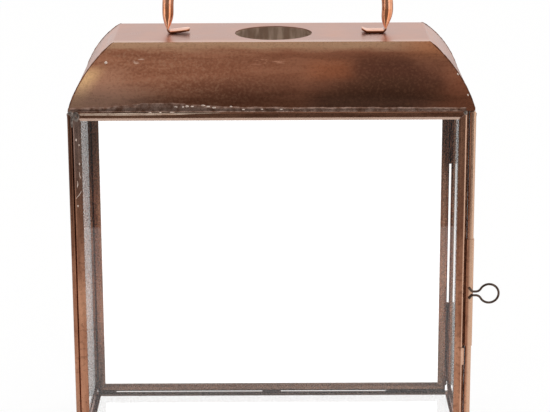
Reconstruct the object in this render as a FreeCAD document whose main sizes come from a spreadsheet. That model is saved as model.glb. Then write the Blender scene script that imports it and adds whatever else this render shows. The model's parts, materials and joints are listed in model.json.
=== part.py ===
"""Candle lantern of folded copper sheet and glass.

Five glazed frames of pinched U-channel (base, front, back, left wall and a hinged door), a hipped roof
of curved sheets with a round vent, and a bow handle of tube with squeezed ends.
X runs along the lantern's width with the door at +X, Y from front to back and Z up. The origin is the
middle of the base on the table. Sizes are millimetres.
"""
import FreeCAD, Part
import math
import os
from types import SimpleNamespace

import Sketcher
from FreeCAD import Placement, Rotation, Vector

# Driving dimensions: alias, size, meaning
DIMENSIONS = [
    ("body_width", 338.0, "front and back frames, edge to edge"),
    ("plan_depth", 170.0, "lantern front to back"),
    ("wall_top", 320.0, "table to the top of the walls"),
    ("channel_thick", 4.2, "folded channel across its two faces"),
    ("channel_face", 7.4, "folded channel, outer fold to lip"),
    ("copper_sheet", 0.7, "sheet that the channels are folded from"),
    ("fold_radius", 2.0, "outer radius of the channel's folds"),
    ("lip_height", 2.2, "lip that leans in on the glass"),
    ("lip_crease", 0.15, "crease where the lip begins"),
    ("glass_thick", 2.0, "window glass"),
    ("glass_clear", 0.05, "room between glass and copper"),
    ("glass_edge_gap", 1.0, "room between a pane's edge and the fold"),
    ("tack_thick", 0.8, "solder between walls and base"),
    ("tack_length", 18.0, "one solder tack along its rail"),
    ("door_thick", 5.6, "the door's deeper channel across its two faces"),
    ("door_gap", 1.8, "front and back frames to the door"),
    ("door_clear", 0.5, "door to base and door to roof"),
    ("eaves_back", 1.3, "walls' faces to the eaves"),
    ("roof_rise", 53.4, "walls' top to the roof plate's upper face"),
    ("roof_inset", 36.2, "eaves to where the slope would meet the plate, in plan"),
    ("roof_arc", 103.0, "radius of the curved roof sheets"),
    ("crown_fold", 3.0, "radius of the fold from slope to plate"),
    ("roof_sheet", 0.8, "sheet of the roof"),
    ("roof_skirt", 2.5, "upright edge at the eaves"),
    ("seat_flange", 10.0, "flange turned in to sit on the walls"),
    ("vent_diameter", 68.0, "round vent in the roof plate"),
    ("vent_offset", 1.8, "vent off the middle, towards the door"),
    ("vent_forward", 3.5, "vent off the middle, towards the front"),
    ("handle_tube", 10.0, "handle tube outside diameter"),
    ("bow_radius", 97.0, "handle bow to the tube's middle"),
    ("bow_height", 21.0, "bow centre above the roof plate"),
    ("handle_offset", 5.6, "handle off the middle, towards the door"),
    ("foot_width", 15.5, "squeezed tube across"),
    ("foot_thick", 2.4, "squeezed tube through"),
    ("foot_bend", 2.0, "inside radius of the foot's bend"),
    ("foot_flat", 11.5, "foot that lies on the roof plate"),
    ("foot_tip", 5.5, "end of the foot that curls up"),
    ("foot_lift", 1.2, "height of the curled tip"),
    ("foot_corner", 4.5, "radius of the tip's corners"),
    ("hinge_length", 80.0, "one door hinge"),
    ("hinge_margin", 8.0, "door's end to the hinge"),
    ("hinge_sheet", 0.8, "hinge leaf"),
    ("hinge_leaf", 7.5, "frame leaf from the pin's axis"),
    ("door_leaf", 5.5, "door leaf from the pin's axis"),
    ("hinge_pin", 2.0, "hinge pin diameter"),
    ("pin_clear", 0.05, "room round the pin"),
    ("pin_head", 3.2, "peened pin head diameter"),
    ("head_height", 0.7, "peened pin head height"),
    ("knuckle_gap", 0.3, "room between hinge knuckles"),
    ("pull_height", 157.4, "door pull above the table"),
    ("pull_reach", 23.6, "door pull beyond the door's face"),
    ("pull_loop", 18.8, "door pull loop outside diameter"),
    ("pull_wire", 2.0, "door pull wire diameter"),
    ("neck_gap", 3.4, "neck wires, middle to middle"),
    ("wire_bend", 5.0, "bends from the loop into the neck"),
    ("leg_bend", 2.5, "bends from the neck into the legs"),
    ("neck_start", 0.6, "end of the neck beyond the door's face"),
    ("leg_splay", 50.0, "degrees that a leg turns from the neck"),
    ("leg_length", 3.0, "straight end of a leg"),
    ("plate_length", 97.5, "plate folded round the door's edge"),
    ("plate_sheet", 0.5, "sheet of that plate"),
    ("plate_fold", 1.0, "inside radius of its folds"),
    ("catch_gap", 1.95, "door catch below the pull's plate"),
    ("catch_height", 15.7, "door catch upright"),
    ("catch_sheet", 0.5, "sheet of the catch"),
    ("catch_foot", 5.0, "catch on the front stile's face"),
    ("catch_clear", 0.6, "catch to the door"),
    ("stop_sheet", 0.5, "sheet of the strip behind the door's gap"),
    ("stop_overlap", 4.5, "that strip on the front right stile"),
    ("stop_clear", 0.3, "that strip to the door"),
]
KNUCKLES = 5


class Size:
    """A length that carries its number and the sheet expression that gives it."""

    def __init__(self, number, text):
        self.number = number
        self.text = text

    def joined(self, sign, other, number):
        return Size(number, f"({self.text} {sign} {other.text})")

    def __add__(self, other):
        other = as_size(other)
        return self.joined("+", other, self.number + other.number)

    def __sub__(self, other):
        other = as_size(other)
        return self.joined("-", other, self.number - other.number)

    def __mul__(self, other):
        other = as_size(other)
        return self.joined("*", other, self.number * other.number)

    def __truediv__(self, other):
        other = as_size(other)
        return self.joined("/", other, self.number / other.number)

    def __radd__(self, other):
        return as_size(other) + self

    def __rsub__(self, other):
        return as_size(other) - self

    def __rmul__(self, other):
        return as_size(other) * self

    def __neg__(self):
        return as_size(-1) * self


def as_size(item):
    return item if isinstance(item, Size) else Size(float(item), f"({float(item)})")


def root(square):
    return Size(math.sqrt(square.number), f"sqrt({square.text})")


def sine(degrees):
    return Size(math.sin(math.radians(degrees.number)), f"sin({degrees.text} * 1 deg)")


def cosine(degrees):
    return Size(math.cos(math.radians(degrees.number)), f"cos({degrees.text} * 1 deg)")


doc = FreeCAD.newDocument("copper_lantern")
sheet = doc.addObject("Spreadsheet::Sheet", "dims")
for row, (alias, size, meaning) in enumerate(DIMENSIONS, start=1):
    sheet.set(f"A{row}", meaning)
    sheet.set(f"B{row}", str(size))
    sheet.setAlias(f"B{row}", alias)
doc.recompute()
d = SimpleNamespace(**{alias: Size(size, f"dims.{alias}") for alias, size, meaning in DIMENSIONS})

# Places that several pieces share
plan_width = d.body_width + d.channel_thick + d.door_gap + d.door_thick
left_face = -plan_width / 2
door_face = plan_width / 2
body_middle = left_face + d.channel_thick + d.body_width / 2
body_right = left_face + d.channel_thick + d.body_width
front_face = -d.plan_depth / 2
back_face = d.plan_depth / 2
wall_foot = d.channel_thick + d.tack_thick
wall_height = d.wall_top - wall_foot
door_foot = d.channel_thick + d.door_clear
door_height = d.wall_top - d.door_clear - door_foot
roof_top = d.wall_top + d.roof_rise
half_channel = d.channel_thick / 2

subparts = []
pockets = []


def keep(thing, label):
    thing.Label = label
    subparts.append(thing)
    return thing


def bind(thing, field, size):
    thing.setExpression(field, as_size(size).text)


def place(thing, x, y, z, turn=None):
    spot = [as_size(item) for item in (x, y, z)]
    thing.Placement = Placement(Vector(*[item.number for item in spot]), turn or Rotation())
    for axis, item in zip("xyz", spot):
        bind(thing, f"Placement.Base.{axis}", item)


# Sketches and features
def origin_plane(body, role):
    return next(item for item in body.Origin.OriginFeatures if item.Role == role)


def new_sketch(body, role, lift=None):
    sketch = body.newObject("Sketcher::SketchObject", "sketch")
    sketch.AttachmentSupport = (origin_plane(body, role), [""])
    sketch.MapMode = "FlatFace"
    if lift is not None:
        sketch.AttachmentOffset = Placement(Vector(0, 0, lift.number), Rotation())
        bind(sketch, "AttachmentOffset.Base.z", lift)
    return sketch


def fix(sketch, kind, references, size):
    size = as_size(size)
    index = sketch.addConstraint(Sketcher.Constraint(kind, *references, size.number))
    sketch.renameConstraint(index, f"size_{index}")
    bind(sketch, f"Constraints.size_{index}", size)


def fix_point(sketch, edge, end, x, y):
    fix(sketch, "DistanceX", (-1, 1, edge, end), x)
    fix(sketch, "DistanceY", (-1, 1, edge, end), y)


def draw_path(sketch, corners, arcs=None, closed=True):
    """Draw edges through the corners. arcs gives, for the edge that leaves a corner, its radius,
    its centre and its sense: 1 for anticlockwise and -1 for clockwise."""
    arcs = arcs or {}
    corners = [(as_size(x), as_size(y)) for x, y in corners]
    count = len(corners) if closed else len(corners) - 1
    edges = []
    for start in range(count):
        first, last = corners[start], corners[(start + 1) % len(corners)]
        here, there = (Vector(x.number, y.number, 0) for x, y in (first, last))
        if start not in arcs:
            edge = sketch.addGeometry(Part.LineSegment(here, there))
            edges.append((edge, 1, 2))
            continue
        radius, centre, sense = arcs[start]
        middle = Vector(*[as_size(item).number for item in centre], 0)
        angles = [math.atan2(point.y - middle.y, point.x - middle.x) for point in (here, there)]
        low, high = angles[::sense]
        high += 2 * math.pi * (high < low)
        circle = Part.Circle(middle, Vector(0, 0, 1), as_size(radius).number)
        edge = sketch.addGeometry(Part.ArcOfCircle(circle, low, high))
        edges.append((edge, 1, 2) if sense == 1 else (edge, 2, 1))
    for start, (edge, tail, head) in enumerate(edges):
        fix_point(sketch, edge, tail, *corners[start])
        if closed or start + 1 < count:
            following, first_end = edges[(start + 1) % count][:2]
            sketch.addConstraint(Sketcher.Constraint("Coincident", edge, head, following, first_end))
        else:
            fix_point(sketch, edge, head, *corners[-1])
    for start, arc in arcs.items():
        fix(sketch, "Radius", (edges[start][0],), arc[0])


def draw_circle(sketch, x, y, radius):
    x, y, radius = (as_size(item) for item in (x, y, radius))
    circle = Part.Circle(Vector(x.number, y.number, 0), Vector(0, 0, 1), radius.number)
    edge = sketch.addGeometry(circle)
    fix_point(sketch, edge, 3, x, y)
    fix(sketch, "Radius", (edge,), radius)


def draw_box(sketch, x_low, x_high, y_low, y_high):
    draw_path(sketch, [(x_low, y_low), (x_high, y_low), (x_high, y_high), (x_low, y_high)])


def pad(body, sketch, length, side="Symmetric"):
    feature = body.newObject("PartDesign::Pad", "pad")
    feature.Profile = sketch
    feature.SideType = side
    bind(feature, "Length", length)
    return feature


def pocket(body, sketch, length):
    feature = body.newObject("PartDesign::Pocket", "pocket")
    feature.Profile = sketch
    feature.SideType = "Symmetric"
    bind(feature, "Length", length)
    pockets.append(feature)
    return feature


def mirror(body, features, role):
    feature = body.newObject("PartDesign::Mirrored", "mirror")
    feature.Originals = features
    feature.MirrorPlane = (origin_plane(body, role), [""])
    body.Tip = feature
    return feature


def revolve(body, sketch, degrees):
    feature = body.newObject("PartDesign::Revolution", "revolution")
    feature.Profile = sketch
    feature.ReferenceAxis = (sketch, ["V_Axis"])
    feature.Angle = degrees
    return feature


def cut_mitres(body, role, length, reach, through):
    """Cut both ends at 45 degrees, from full length at the outer edge inwards."""
    sketch = new_sketch(body, role)
    end = length / 2
    draw_path(sketch, [(-end, 0), (-end, reach), (reach - end, reach)])
    draw_path(sketch, [(end, 0), (end, reach), (end - reach, reach)])
    pocket(body, sketch, through)


# Glazed frames of pinched channel
def draw_channel(sketch, thick):
    """U-section: the web at the bottom, the mouth at the top, its lips leaning in on the glass."""
    half = thick / 2
    fold = half - d.fold_radius
    inner = half - d.copper_sheet
    lip_inner = d.glass_thick / 2 + d.glass_clear
    lip_outer = lip_inner + d.copper_sheet
    lip_foot = d.channel_face - d.lip_height
    crease_foot = lip_foot - d.lip_crease
    right = [
        (fold, 0), (half, d.fold_radius), (half, crease_foot), (half - d.lip_crease, lip_foot),
        (lip_outer, d.channel_face), (lip_inner, d.channel_face), (inner - d.lip_crease, lip_foot),
        (inner, crease_foot), (inner, d.fold_radius), (fold, d.copper_sheet),
    ]
    left = [(-x, z) for x, z in reversed(right)]
    inside = d.fold_radius - d.copper_sheet
    arcs = {
        0: (d.fold_radius, (fold, d.fold_radius), 1),
        8: (inside, (fold, d.fold_radius), -1),
        10: (inside, (-fold, d.fold_radius), -1),
        18: (d.fold_radius, (-fold, d.fold_radius), 1),
    }
    draw_path(sketch, right + left, arcs)


def channel(label, length, thick):
    """One mitred length of channel along X, its web on Z = 0 and its mouth towards +Z."""
    body = doc.addObject("PartDesign::Body", label)
    section = new_sketch(body, "YZ_Plane")
    draw_channel(section, thick)
    pad(body, section, length)
    cut_mitres(body, "XZ_Plane", length, d.channel_face, 2 * thick)
    return keep(body, label)


def glazed_frame(name, members, width, height, spot, turn, thick=d.channel_thick, flat=False):
    """Four mitred channels round a pane. spot gives the place of a point that is so far along and so
    far up the frame; turn sets the upright frame in the lantern. An upright pane stands on the folds of
    its bottom rail, and a flat pane lies on its lower lip."""
    bottom, top, left, right = (f"{name}_{member}" for member in members)
    upright = height / 2
    for label, length, along, up, roll in (
        (bottom, width, 0, 0, 0), (top, width, 0, height, 180),
        (left, height, -width / 2, upright, 90), (right, height, width / 2, upright, -90),
    ):
        place(channel(label, length, thick), *spot(along, up, 0), turn * Rotation(Vector(0, 1, 0), roll))
    edge = d.copper_sheet + d.glass_edge_gap
    inside = d.fold_radius - d.copper_sheet
    overhang = d.glass_thick / 2 - (thick / 2 - d.fold_radius)
    on_folds = d.fold_radius - root(inside * inside - overhang * overhang) + d.glass_clear
    seat = edge if flat else on_folds
    drop = d.glass_clear if flat else as_size(0)
    pane = keep(doc.addObject("Part::Box", f"{name}_glass"), f"{name}_glass")
    bind(pane, "Length", width - 2 * edge)
    bind(pane, "Width", d.glass_thick)
    bind(pane, "Height", height - seat - edge)
    place(pane, *spot(edge - width / 2, seat, drop - d.glass_thick / 2), turn)


def tacks(label, reach, spot, turn):
    """Three solder tacks under a wall: at both ends and in the middle of its bottom rail."""
    across = d.channel_thick - d.fold_radius
    beads = []
    for share in (-1, 0, 1):
        bead = doc.addObject("Part::Box", "bead")
        bind(bead, "Length", d.tack_length)
        bind(bead, "Width", across)
        bind(bead, "Height", d.tack_thick)
        along = share * (reach - d.tack_length) / 2 - d.tack_length / 2
        place(bead, *spot(along, -d.tack_thick, -across / 2), turn)
        beads.append(bead)
    group = keep(doc.addObject("Part::Compound", label), label)
    group.Links = beads


UPRIGHT = Rotation()
SIDEWAYS = Rotation(Vector(0, 0, 1), 90)
LYING = Rotation(Vector(1, 0, 0), -90)


def front_spot(along, up, out):
    return body_middle + along, front_face + half_channel + out, wall_foot + up


def back_spot(along, up, out):
    return body_middle + along, back_face - half_channel + out, wall_foot + up


def left_spot(along, up, out):
    return left_face + half_channel - out, as_size(along), wall_foot + up


def door_spot(along, up, out):
    return door_face - d.door_thick / 2 - out, as_size(along), door_foot + up


def base_spot(along, up, out):
    return as_size(along), front_face + up, half_channel - out


WALL_MEMBERS = ("bottom_rail", "top_rail", "left_stile", "right_stile")
SIDE_MEMBERS = ("bottom_rail", "top_rail", "front_stile", "rear_stile")
BASE_MEMBERS = ("front_rail", "rear_rail", "left_rail", "right_rail")
glazed_frame("base", BASE_MEMBERS, plan_width, d.plan_depth, base_spot, LYING, flat=True)
glazed_frame("front", WALL_MEMBERS, d.body_width, wall_height, front_spot, UPRIGHT)
glazed_frame("back", WALL_MEMBERS, d.body_width, wall_height, back_spot, UPRIGHT)
glazed_frame("left", SIDE_MEMBERS, d.plan_depth, wall_height, left_spot, SIDEWAYS)
glazed_frame("door", SIDE_MEMBERS, d.plan_depth, door_height, door_spot, SIDEWAYS, d.door_thick)

tacks("front_tacks", d.body_width, front_spot, UPRIGHT)
tacks("back_tacks", d.body_width, back_spot, UPRIGHT)
tacks("left_tacks", d.plan_depth, left_spot, SIDEWAYS)


# Roof
def roof_curve():
    """Centres of the slope's arc and of the fold that turns it into the plate, from the eaves' corner."""
    half_run = d.roof_inset / 2
    half_rise = (d.roof_rise - d.roof_skirt) / 2
    half_chord = root(half_run * half_run + half_rise * half_rise)
    reach = root(d.roof_arc * d.roof_arc - half_chord * half_chord)
    arc_x = half_run + reach * half_rise / half_chord
    arc_z = d.roof_skirt + half_rise - reach * half_run / half_chord
    fold_z = d.roof_rise - d.crown_fold
    apart = d.roof_arc - d.crown_fold
    drop = fold_z - arc_z
    fold_x = arc_x - root(apart * apart - drop * drop)
    return SimpleNamespace(arc=(arc_x, arc_z), fold=(fold_x, fold_z), apart=apart)


curve = roof_curve()
plate_inset = d.eaves_back + curve.fold[0]


def draw_roof_section(sketch):
    """One roof sheet in section: seat flange, skirt, curved slope and the fold that meets the plate."""
    thin = d.roof_sheet
    (arc_x, arc_z), (fold_x, fold_z) = curve.arc, curve.fold
    inside = d.roof_arc - thin
    foot_run = arc_x - thin
    inner_foot = arc_z + root(inside * inside - foot_run * foot_run)

    def meeting(radius):
        """Where the slope's arc of this radius runs into the fold."""
        share = radius / curve.apart
        return arc_x + (fold_x - arc_x) * share, arc_z + (fold_z - arc_z) * share

    corners = [
        (0, 0), (0, d.roof_skirt), meeting(d.roof_arc), (fold_x, d.roof_rise),
        (fold_x, d.roof_rise - thin), meeting(inside), (thin, inner_foot), (thin, thin),
        (d.seat_flange, thin), (d.seat_flange, 0),
    ]
    arcs = {
        1: (d.roof_arc, curve.arc, -1),
        2: (d.crown_fold, curve.fold, -1),
        4: (d.crown_fold - thin, curve.fold, 1),
        5: (inside, curve.arc, 1),
    }
    draw_path(sketch, corners, arcs)


def roof_slope(label, length, x, y, degrees):
    """A curved sheet along X with its eaves on Y = 0, mitred along both hips."""
    body = doc.addObject("PartDesign::Body", label)
    section = new_sketch(body, "YZ_Plane")
    draw_roof_section(section)
    pad(body, section, length)
    cut_mitres(body, "XY_Plane", length, curve.fold[0], 3 * d.roof_rise)
    place(keep(body, label), x, y, d.wall_top, Rotation(Vector(0, 0, 1), degrees))


roof_width = plan_width - 2 * d.eaves_back
roof_depth = d.plan_depth - 2 * d.eaves_back
roof_slope("roof_front", roof_width, 0, -roof_depth / 2, 0)
roof_slope("roof_back", roof_width, 0, roof_depth / 2, 180)
roof_slope("roof_left", roof_depth, -roof_width / 2, 0, -90)
roof_slope("roof_right", roof_depth, roof_width / 2, 0, 90)


def roof_plate():
    body = doc.addObject("PartDesign::Body", "roof_top")
    plan = new_sketch(body, "XY_Plane")
    half_width = plan_width / 2 - plate_inset
    half_depth = d.plan_depth / 2 - plate_inset
    draw_box(plan, -half_width, half_width, -half_depth, half_depth)
    draw_circle(plan, d.vent_offset, -d.vent_forward, d.vent_diameter / 2)
    pad(body, plan, d.roof_sheet, "One side")
    place(keep(body, "roof_top"), 0, 0, roof_top - d.roof_sheet)


roof_plate()


# Handle
def handle():
    """A half circle of tube, then each end squeezed flat, bent inwards and laid on the roof plate.
    The squeezed ends close the tube, so it is solid here."""
    body = doc.addObject("PartDesign::Body", "handle")
    ring = new_sketch(body, "XY_Plane")
    draw_circle(ring, d.bow_radius, 0, d.handle_tube / 2)
    bow = revolve(body, ring, 180)
    bow.Reversed = True
    turn_out = d.foot_thick + d.foot_bend
    floor = -d.bow_height
    outer = d.bow_radius + d.foot_thick / 2
    inner = outer - d.foot_thick
    half_foot = d.foot_width / 2
    round_end = new_sketch(body, "XY_Plane")
    draw_circle(round_end, d.bow_radius, 0, d.handle_tube / 2)
    flat_end = new_sketch(body, "XY_Plane", floor + turn_out)
    draw_box(flat_end, inner, outer, -half_foot, half_foot)
    squeeze = body.newObject("PartDesign::AdditiveLoft", "squeeze")
    squeeze.Profile = round_end
    squeeze.Sections = [flat_end]
    bend_x = outer - turn_out
    curl_x = bend_x - d.foot_flat
    tip_x = curl_x - d.foot_tip
    bend_z = floor + turn_out
    corners = [
        (outer, bend_z), (bend_x, floor), (curl_x, floor), (tip_x, floor + d.foot_lift),
        (tip_x, floor + d.foot_lift + d.foot_thick), (curl_x, floor + d.foot_thick),
        (bend_x, floor + d.foot_thick), (inner, bend_z),
    ]
    arcs = {0: (turn_out, (bend_x, bend_z), -1), 6: (d.foot_bend, (bend_x, bend_z), 1)}
    strip = new_sketch(body, "XZ_Plane")
    draw_path(strip, corners, arcs)
    foot = pad(body, strip, d.foot_width)
    corner_x = tip_x + d.foot_corner
    corner_y = half_foot - d.foot_corner
    rounding = new_sketch(body, "XY_Plane", floor)
    draw_path(rounding, [(tip_x, corner_y), (corner_x, half_foot), (tip_x, half_foot)],
              {0: (d.foot_corner, (corner_x, corner_y), -1)})
    draw_path(rounding, [(tip_x, -corner_y), (tip_x, -half_foot), (corner_x, -half_foot)],
              {2: (d.foot_corner, (corner_x, -corner_y), -1)})
    tip = pocket(body, rounding, 4 * (d.foot_thick + d.foot_lift))
    mirror(body, [squeeze, foot, tip], "YZ_Plane")
    place(keep(body, "handle"), d.handle_offset, 0, roof_top + d.bow_height)


handle()

# Door hinges
barrel = d.hinge_pin / 2 + d.pin_clear + d.hinge_sheet
hinge_x = body_right + d.door_gap / 2
hinge_y = back_face + barrel
knuckle = d.hinge_length / KNUCKLES


def hinge_leaf(label, side, length, notches, z):
    """A leaf rolled round the pin's axis: side is 1 towards +X and -1 towards -X."""
    body = doc.addObject("PartDesign::Body", label)
    section = new_sketch(body, "XY_Plane")
    rise = barrel - d.hinge_sheet
    meet = root(barrel * barrel - rise * rise)
    corners = [(0, -barrel), (side * length, -barrel), (side * length, -rise), (side * meet, -rise)]
    draw_path(section, corners, {3: (barrel, (0, 0), side)})
    draw_circle(section, 0, 0, d.hinge_pin / 2 + d.pin_clear)
    pad(body, section, d.hinge_length, "One side")
    gaps = new_sketch(body, "XZ_Plane")
    clear = barrel + d.knuckle_gap
    for index in notches:
        low = index * knuckle - d.knuckle_gap / 2
        draw_box(gaps, -clear, clear, low, low + knuckle + d.knuckle_gap)
    pocket(body, gaps, 4 * barrel)
    place(keep(body, label), hinge_x, hinge_y, z)


def hinge_pin(label, z):
    """A pin with a domed head peened on each end."""
    body = doc.addObject("PartDesign::Body", label)
    section = new_sketch(body, "XZ_Plane")
    shank = d.hinge_pin / 2
    head = d.pin_head / 2
    dome = (head * head + d.head_height * d.head_height) / (2 * d.head_height)
    sunk = dome - d.head_height
    corners = [
        (0, -d.head_height), (head, 0), (shank, 0), (shank, d.hinge_length), (head, d.hinge_length),
        (0, d.hinge_length + d.head_height),
    ]
    arcs = {0: (dome, (0, sunk), 1), 4: (dome, (0, d.hinge_length - sunk), 1)}
    draw_path(section, corners, arcs)
    revolve(body, section, 360)
    place(keep(body, label), hinge_x, hinge_y, z)


lower_hinge = door_foot + d.hinge_margin
upper_hinge = door_foot + door_height - d.hinge_margin - d.hinge_length
for where, low in (("lower", lower_hinge), ("upper", upper_hinge)):
    hinge_leaf(f"{where}_frame_leaf", -1, d.hinge_leaf, range(1, KNUCKLES, 2), low)
    hinge_leaf(f"{where}_door_leaf", 1, d.door_leaf, range(0, KNUCKLES, 2), low)
    hinge_pin(f"{where}_hinge_pin", low)


# Door pull and catch
def pull_plate():
    """A strip folded round the middle of the door's front edge, ending short of the door stop."""
    body = doc.addObject("PartDesign::Body", "pull_plate")
    section = new_sketch(body, "XY_Plane")
    half = d.door_thick / 2
    outer = half + d.plate_sheet
    fold = half - d.plate_fold
    outer_fold = d.plate_fold + d.plate_sheet
    wrap = d.channel_thick - d.stop_clear
    right = [
        (fold, -d.plate_sheet), (outer, d.plate_fold), (outer, wrap), (half, wrap), (half, d.plate_fold),
        (fold, 0),
    ]
    left = [(-x, y) for x, y in reversed(right)]
    arcs = {
        0: (outer_fold, (fold, d.plate_fold), 1),
        4: (d.plate_fold, (fold, d.plate_fold), -1),
        6: (d.plate_fold, (-fold, d.plate_fold), -1),
        10: (outer_fold, (-fold, d.plate_fold), 1),
    }
    draw_path(section, right + left, arcs)
    pad(body, section, d.plate_length)
    place(keep(body, "pull_plate"), door_face - half, front_face, d.pull_height)


def pull_wire():
    """Half of a keyhole loop of wire, swept from the loop's tip to the end of a leg, and its mirror."""
    body = doc.addObject("PartDesign::Body", "pull_wire")
    loop = (d.pull_loop - d.pull_wire) / 2
    loop_x = d.pull_reach - d.pull_loop / 2
    neck = d.neck_gap / 2
    both = loop + d.wire_bend
    high = neck + d.wire_bend
    span = root(both * both - high * high)
    bend_x = loop_x - span
    leg_z = neck + d.leg_bend
    splay_x = d.neck_start - d.leg_bend * sine(d.leg_splay)
    splay_z = leg_z - d.leg_bend * cosine(d.leg_splay)
    corners = [
        (loop_x + loop, 0), (loop_x - loop * span / both, loop * high / both), (bend_x, neck),
        (d.neck_start, neck), (splay_x, splay_z),
        (splay_x - d.leg_length * cosine(d.leg_splay), splay_z + d.leg_length * sine(d.leg_splay)),
    ]
    arcs = {
        0: (loop, (loop_x, 0), 1),
        1: (d.wire_bend, (bend_x, high), -1),
        3: (d.leg_bend, (d.neck_start, leg_z), -1),
    }
    spine = new_sketch(body, "XZ_Plane")
    draw_path(spine, corners, arcs, closed=False)
    section = new_sketch(body, "XY_Plane")
    draw_circle(section, loop_x + loop, 0, d.pull_wire / 2)
    sweep = body.newObject("PartDesign::AdditivePipe", "sweep")
    sweep.Profile = section
    sweep.Spine = (spine, [f"Edge{number}" for number in range(1, len(corners))])
    mirror(body, [sweep], "XY_Plane")
    wire_y = front_face - d.plate_sheet - d.pull_wire / 2
    place(keep(body, "pull_wire"), door_face, wire_y, d.pull_height)


def door_catch():
    """A clip on the front right stile, bent back into the gap beside the door, short of the stop."""
    body = doc.addObject("PartDesign::Body", "door_catch")
    section = new_sketch(body, "XY_Plane")
    thin = d.catch_sheet
    reach = d.door_gap - d.catch_clear
    turned_in = d.channel_thick - d.stop_clear
    corners = [
        (-d.catch_foot, -thin), (reach - thin, -thin), (reach, 0), (reach, turned_in),
        (reach - thin, turned_in), (reach - thin, 0), (-d.catch_foot, 0),
    ]
    draw_path(section, corners, {1: (thin, (reach - thin, 0), 1)})
    pad(body, section, d.catch_height, "One side")
    plate_low = d.pull_height - d.plate_length / 2
    place(keep(body, "door_catch"), body_right, front_face, plate_low - d.catch_gap - d.catch_height)


def door_stop():
    """A strip on the inner face of the front right stile that closes the gap beside the door."""
    strip = keep(doc.addObject("Part::Box", "door_stop"), "door_stop")
    bind(strip, "Length", d.stop_overlap + d.door_gap - d.stop_clear)
    bind(strip, "Width", d.stop_sheet)
    bind(strip, "Height", wall_height - d.door_clear)
    place(strip, body_right - d.stop_overlap, front_face + d.channel_thick, wall_foot)


pull_plate()
pull_wire()
door_catch()
door_stop()
doc.recompute()

# Every object has to be sound before anything is written
for thing in doc.Objects:
    if "Invalid" in thing.State or "Error" in thing.State:
        raise RuntimeError(f"{thing.Label} failed: {thing.State}")
for cut in pockets:
    if cut.Shape.Volume >= cut.BaseFeature.Shape.Volume:
        raise RuntimeError(f"{cut.Label} cuts nothing")
for piece in subparts:
    if piece.Shape.isNull() or not piece.Shape.isValid():
        raise RuntimeError(f"{piece.Label} has no valid shape")

os.makedirs("parts", exist_ok=True)
for piece in subparts:
    piece.Shape.exportStep(f"parts/{piece.Label}.step")
    box = piece.Shape.BoundBox
    print(f"{piece.Label}: {len(piece.Shape.Solids)} solids, {piece.Shape.Volume:.1f} mm3, "
          f"{box.XLength:.1f} x {box.YLength:.1f} x {box.ZLength:.1f} mm")
print(f"{len(subparts)} pieces")
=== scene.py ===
# %% [markdown]
# # A copper and glass lantern
# The frame that this file loads is the measured model: folded copper channels, five panes, a hipped roof,
# a bow handle and a hinged door. Everything below works in its metres and its axes, so nothing has to be
# fitted. Blender adds the finishes, the solder, the hand-bent handle, the light and the camera.

# %% Load the measured frame
import json
import math

import bmesh
import bpy
from mathutils import Matrix, Vector, noise


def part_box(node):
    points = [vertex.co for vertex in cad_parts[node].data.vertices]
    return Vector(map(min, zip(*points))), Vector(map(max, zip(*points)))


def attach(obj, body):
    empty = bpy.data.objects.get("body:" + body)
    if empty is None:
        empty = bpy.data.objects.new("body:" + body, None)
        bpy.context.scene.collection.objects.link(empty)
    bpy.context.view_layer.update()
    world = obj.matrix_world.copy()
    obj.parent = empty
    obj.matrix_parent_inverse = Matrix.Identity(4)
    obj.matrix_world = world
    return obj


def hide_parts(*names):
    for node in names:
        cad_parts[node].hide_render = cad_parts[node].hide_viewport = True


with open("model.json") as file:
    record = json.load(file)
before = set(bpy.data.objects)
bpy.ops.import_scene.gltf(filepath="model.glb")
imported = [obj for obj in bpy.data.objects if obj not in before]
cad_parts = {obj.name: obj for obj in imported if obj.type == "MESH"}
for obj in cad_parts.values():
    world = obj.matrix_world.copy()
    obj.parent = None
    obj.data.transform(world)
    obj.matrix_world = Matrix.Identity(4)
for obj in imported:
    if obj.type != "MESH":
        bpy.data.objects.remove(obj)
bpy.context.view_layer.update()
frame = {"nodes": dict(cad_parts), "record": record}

nodes = frame["nodes"]
scene = bpy.context.scene
scene.view_settings.view_transform = "Standard"
MM = 0.001
print(f"{len(nodes)} measured pieces")

# %% [markdown]
# ## Camera
# The lantern was photographed from slightly above with a long lens. A long lens is a narrow angle, so the
# camera stands well back. The angle and the distance come from the edges of the walls and the roof in the
# picture, which meet at the same vanishing points here.

# %% Camera
# The place is in millimetres, and the angles are in degrees
PICTURE_WIDTH = 550
FOCAL_PIXELS = 2000
CAMERA_PLACE = (2.5, -1751, 691)
TILT_DOWN = 15.25
LEAN = 0.23
camera_data = bpy.data.cameras.new("camera")
camera_data.sensor_width = 36.0
camera_data.lens = FOCAL_PIXELS / PICTURE_WIDTH * camera_data.sensor_width
camera_data.clip_end = 50.0
camera = bpy.data.objects.new("camera", camera_data)
scene.collection.objects.link(camera)
camera.location = Vector(CAMERA_PLACE) * MM
look_down = Matrix.Rotation(math.radians(90 - TILT_DOWN), 3, "X")
lean = Matrix.Rotation(math.radians(-LEAN), 3, "Z")
camera.rotation_euler = (look_down @ lean).to_euler()
scene.camera = camera
print(f"lens {camera_data.lens:.1f} mm")

# %% [markdown]
# ## Nodes and colours
# Every finish below is a small network of nodes. One function adds a node, sets its properties and fills
# its sockets, either with a value or with a link from another node. Colours are written as the hex codes
# that a colour picker shows, and one function turns them into the linear values that the sockets take.

# %% Node and colour helpers
def add(tree, kind, settings=None, inputs=None):
    """Add a node; settings are its properties, inputs its sockets by name or number."""
    node = tree.nodes.new(kind)
    for name, value in (settings or {}).items():
        setattr(node, name, value)
    for name, value in (inputs or {}).items():
        if isinstance(value, bpy.types.NodeSocket):
            tree.links.new(value, node.inputs[name])
        else:
            node.inputs[name].default_value = value
    return node


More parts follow.
